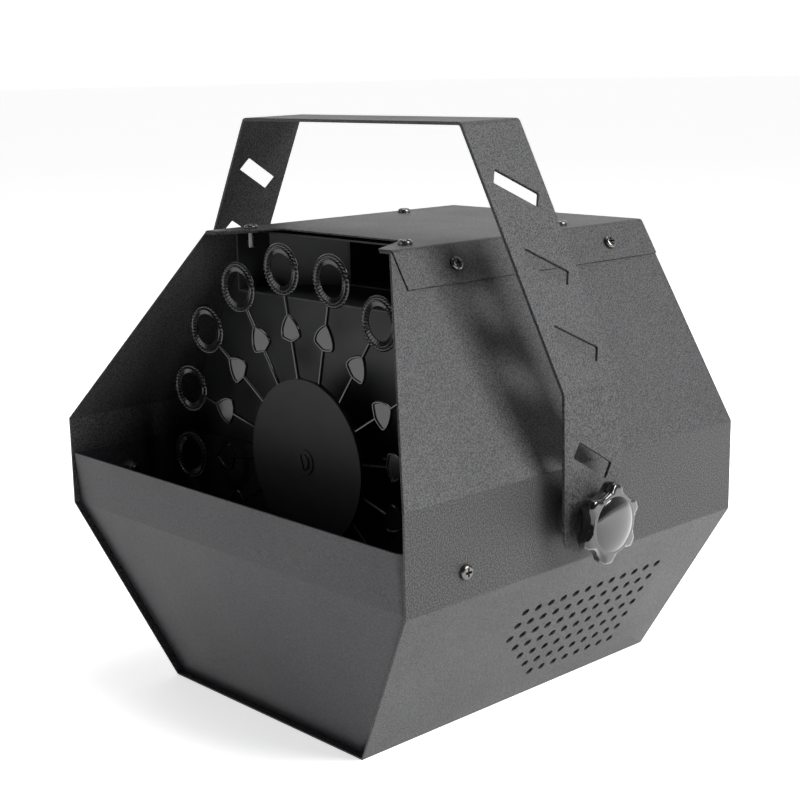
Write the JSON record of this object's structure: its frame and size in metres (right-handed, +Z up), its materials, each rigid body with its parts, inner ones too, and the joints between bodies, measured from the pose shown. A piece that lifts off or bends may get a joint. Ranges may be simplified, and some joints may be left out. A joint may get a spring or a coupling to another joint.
{
  "type": "bubble machine",
  "caption": "Sheet-metal bubble blower with a hexagonal case, open front tank, a wheel of ring wands, carrying handle and clamping knobs.",
  "frame": {"origin": "on the floor, under the middle of the case's width and depth", "axes": "+X the machine's right side, -Y its open front, +Z up"},
  "size_m": [0.3242, 0.2446, 0.3033],
  "materials": {
    "case_paint": "fine textured black powder coat",
    "inner_paint": "satin black paint",
    "tank_paint": "smooth satin black paint",
    "screw_plate": "dark nickel plate",
    "zinc_steel": "zinc plate",
    "wand_plastic": "gloss black moulding",
    "disc_plastic": "matt black",
    "blower_plastic": "matt black moulding",
    "knob_plastic": "polished black",
    "spacer_rubber": "matt rubber",
    "pin_brass": "bright",
    "fuse_glass": "clear",
    "block_plastic": "off-white moulding",
    "lead_sheath": "soft sheath"
  },
  "bodies": {
    "case": {"body_shell": "case_paint", "rear_panel": "case_paint", "top_cover": "case_paint", "partition_panel": "inner_paint", "fluid_tank": "tank_paint", "top_cover_screws": "screw_plate", "side_flange_screws": "screw_plate", "rear_panel_screws": "screw_plate", "tank_screws": "screw_plate", "tank_nuts": "zinc_steel", "gearbox": "zinc_steel", "gear_motor_can": "zinc_steel", "gear_motor_screws": "screw_plate", "air_duct": "inner_paint", "blower_housing": "inner_paint", "blower_inlet_plate": "inner_paint", "blower_motor": "zinc_steel", "blower_bracket": "zinc_steel", "blower_screws": "screw_plate", "blower_foot_screws": "screw_plate", "handle_spacers": "spacer_rubber", "handle_rivet_nuts": "zinc_steel", "power_entry": "blower_plastic", "power_entry_pins": "pin_brass", "switch_body": "blower_plastic", "terminal_block": "block_plastic", "earth_stud": "pin_brass", "entry_lead": "lead_sheath", "switch_lead": "lead_sheath", "blower_lead": "lead_sheath", "gear_motor_lead": "lead_sheath"},
    "wheel": {"wand_wheel": "wand_plastic", "wheel_disc": "disc_plastic", "wheel_hub_screw": "disc_plastic", "drive_shaft": "zinc_steel"},
    "impeller": {"blower_impeller": "blower_plastic", "blower_shaft": "zinc_steel"},
    "handle": {"handle_bracket": "case_paint", "handle_washers": "blower_plastic"},
    "right_stud": {"right_knob_stud": "zinc_steel"},
    "left_stud": {"left_knob_stud": "zinc_steel"},
    "right_knob": {"right_knob": "knob_plastic"},
    "left_knob": {"left_knob": "knob_plastic"},
    "rocker": {"switch_rocker": "knob_plastic"},
    "drawer": {"fuse_drawer": "blower_plastic", "fuse": "fuse_glass"}
  },
  "joints": [
    {"name": "wheel_spin", "type": "hinge", "parent": "case", "child": "wheel", "pos_m": [0, -0.061, 0.1295], "axis": [0, 1, 0], "continuous": true},
    {"name": "impeller_spin", "type": "hinge", "parent": "case", "child": "impeller", "pos_m": [0, 0.053, 0.178], "axis": [1, 0, 0], "continuous": true},
    {"name": "handle_tilt", "type": "hinge", "parent": "case", "child": "handle", "pos_m": [0, -0.008, 0.11725], "axis": [1, 0, 0], "range_deg": [-43, 47]},
    {"name": "right_stud_travel", "type": "slide", "parent": "case", "child": "right_stud", "axis": [1, 0, 0], "range_m": [0, 0.0025]},
    {"name": "right_knob_turn", "type": "hinge", "parent": "right_stud", "child": "right_knob", "pos_m": [0.15, -0.008, 0.11725], "axis": [1, 0, 0], "range_deg": [0, 722]},
    {"name": "left_stud_travel", "type": "slide", "parent": "case", "child": "left_stud", "axis": [-1, 0, 0], "range_m": [0, 0.0025]},
    {"name": "left_knob_turn", "type": "hinge", "parent": "left_stud", "child": "left_knob", "pos_m": [-0.15, -0.008, 0.11725], "axis": [-1, 0, 0], "range_deg": [0, 722]},
    {"name": "switch_rock", "type": "hinge", "parent": "case", "child": "rocker", "pos_m": [-0.062, 0.1206, 0.098], "axis": [1, 0, 0], "range_deg": [-14, 0]},
    {"name": "fuse_drawer_slide", "type": "slide", "parent": "case", "child": "drawer", "axis": [0, 1, 0], "range_m": [0, 0.02]}
  ],
  "couplings": [
    {"joint": "right_knob_turn", "follows": "right_stud_travel", "rad_per_m": 5026.5},
    {"joint": "left_knob_turn", "follows": "left_stud_travel", "rad_per_m": 5026.5}
  ]
}
